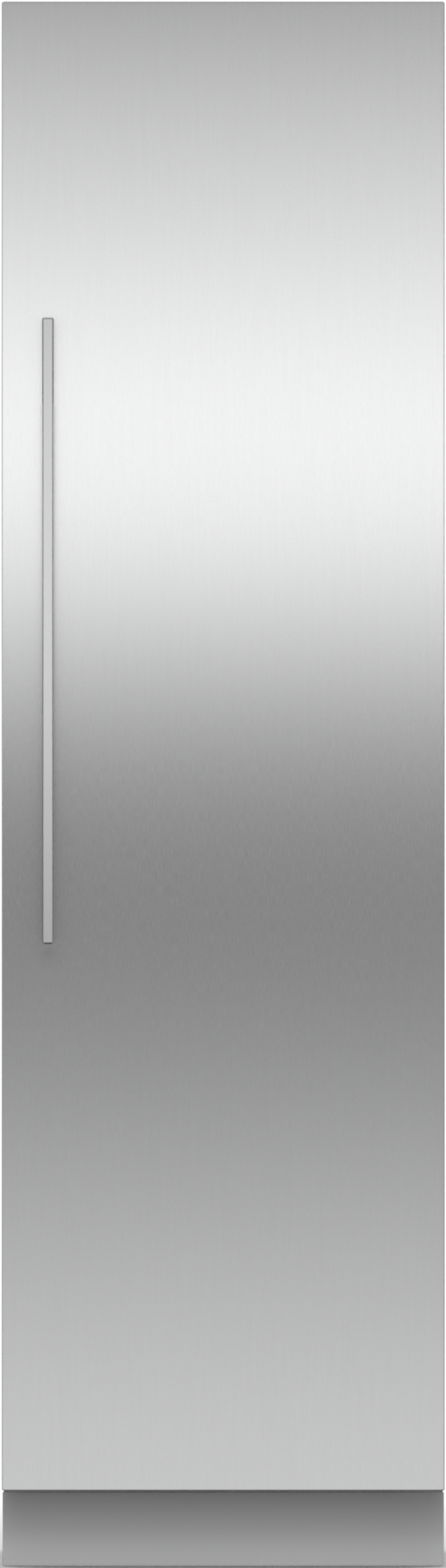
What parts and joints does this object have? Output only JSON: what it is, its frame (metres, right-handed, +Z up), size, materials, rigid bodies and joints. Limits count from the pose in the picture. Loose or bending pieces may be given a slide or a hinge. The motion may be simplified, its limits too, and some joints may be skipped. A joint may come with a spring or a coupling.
{
  "type": "column refrigerator",
  "caption": "Tall built-in column refrigerator with a flat stainless door hinged on the right, a slim vertical bar handle, inner shelves, drawers and door bins, and a plain plinth.",
  "frame": {"origin": "on the floor, under the centre of the object's width and depth", "axes": "+Z up, +X to the right seen from the front, +Y towards the back, so the door faces -Y"},
  "size_m": [0.603, 0.68, 2.134],
  "materials": {
    "brushed_stainless": "satin",
    "handle_steel": "satin",
    "painted_steel": "satin",
    "galvanised_sheet": "matte",
    "liner_plastic": "satin",
    "clear_plastic": "gloss",
    "light_diffuser": "satin",
    "shelf_glass": "polished",
    "insulation_foam": "matte",
    "seal_rubber": "matte",
    "black_plastic": "satin",
    "black_enamel": "satin",
    "satin_aluminium": "satin",
    "core_board": "matte",
    "zinc_steel": "satin"
  },
  "bodies": {
    "cabinet": {"side_panel_left": "painted_steel", "side_panel_right": "painted_steel", "top_panel": "painted_steel", "rear_panel": "galvanised_sheet", "deck_plate": "galvanised_sheet", "cabinet_foam": "insulation_foam", "inner_liner": "liner_plastic", "front_frame": "brushed_stainless", "base_pan": "galvanised_sheet", "toe_kick": "brushed_stainless", "service_grille": "black_plastic", "machine_room_cover": "galvanised_sheet", "power_inlet": "black_plastic", "compressor": "black_enamel", "condenser": "black_enamel", "condenser_fan_shroud": "black_plastic", "drain_pan": "black_plastic", "duct_cover": "brushed_stainless", "evaporator": "satin_aluminium", "evaporator_fan_shroud": "black_plastic", "shelf_trim_1": "satin_aluminium", "glass_shelf_1": "shelf_glass", "shelf_trim_2": "satin_aluminium", "glass_shelf_2": "shelf_glass", "shelf_trim_3": "satin_aluminium", "glass_shelf_3": "shelf_glass", "drawer_cover_glass": "shelf_glass", "light_strip_left": "light_diffuser", "light_strip_right": "light_diffuser", "control_panel": "black_plastic", "drawer_runner_left": "liner_plastic", "drawer_runner_right": "liner_plastic", "top_hinge_plate": "zinc_steel", "bottom_hinge_plate": "zinc_steel", "top_hinge_pin": "zinc_steel", "bottom_hinge_pin": "zinc_steel"},
    "door": {"door_panel": "brushed_stainless", "panel_core": "core_board", "door_shell": "painted_steel", "door_cap_top": "liner_plastic", "door_cap_bottom": "liner_plastic", "door_foam": "insulation_foam", "door_liner": "liner_plastic", "door_gasket": "seal_rubber", "door_bin_1": "clear_plastic", "door_bin_2": "clear_plastic", "door_bin_3": "clear_plastic", "door_bin_4": "clear_plastic", "handle_bar": "handle_steel", "handle_top_mount": "handle_steel", "handle_bottom_mount": "handle_steel"},
    "drawer_low": {"lower_drawer": "clear_plastic"},
    "drawer_high": {"upper_drawer": "clear_plastic"},
    "slider": {"humidity_slider": "liner_plastic"},
    "cold_fan": {"evaporator_fan": "black_plastic"},
    "warm_fan": {"condenser_fan": "black_plastic"},
    "roller_left": {"rear_roller_left": "black_plastic"},
    "roller_right": {"rear_roller_right": "black_plastic"},
    "foot_left": {"front_foot_left": "zinc_steel"},
    "foot_right": {"front_foot_right": "zinc_steel"}
  },
  "joints": [
    {"name": "door_swing", "type": "hinge", "parent": "cabinet", "child": "door", "pos_m": [0.2815, -0.258, 0], "axis": [0, 0, 1], "range_deg": [0, 115]},
    {"name": "lower_drawer_slide", "type": "slide", "parent": "cabinet", "child": "drawer_low", "axis": [0, -1, 0], "range_m": [0, 0.261]},
    {"name": "upper_drawer_slide", "type": "slide", "parent": "cabinet", "child": "drawer_high", "axis": [0, -1, 0], "range_m": [0, 0.261]},
    {"name": "humidity_slide", "type": "slide", "parent": "drawer_high", "child": "slider", "axis": [1, 0, 0], "range_m": [0, 0.07]},
    {"name": "evaporator_fan_spin", "type": "hinge", "parent": "cabinet", "child": "cold_fan", "pos_m": [0, 0.26477, 1.113], "axis": [0, 1, 0], "continuous": true},
    {"name": "condenser_fan_spin", "type": "hinge", "parent": "cabinet", "child": "warm_fan", "pos_m": [-0.1695, -0.07015, 0.1385], "axis": [0, 1, 0], "continuous": true},
    {"name": "rear_roller_left_spin", "type": "hinge", "parent": "cabinet", "child": "roller_left", "pos_m": [-0.24, 0.28, 0.018], "axis": [1, 0, 0], "continuous": true},
    {"name": "rear_roller_right_spin", "type": "hinge", "parent": "cabinet", "child": "roller_right", "pos_m": [0.24, 0.28, 0.018], "axis": [1, 0, 0], "continuous": true},
    {"name": "front_foot_left_extend", "type": "slide", "parent": "cabinet", "child": "foot_left", "axis": [0, 0, -1], "range_m": [0, 0.025]},
    {"name": "front_foot_right_extend", "type": "slide", "parent": "cabinet", "child": "foot_right", "axis": [0, 0, -1], "range_m": [0, 0.025]}
  ],
  "couplings": [
    {"joint": "lower_drawer_slide", "follows": "door_swing", "m_per_rad": 0.13},
    {"joint": "upper_drawer_slide", "follows": "door_swing", "m_per_rad": 0.13}
  ]
}
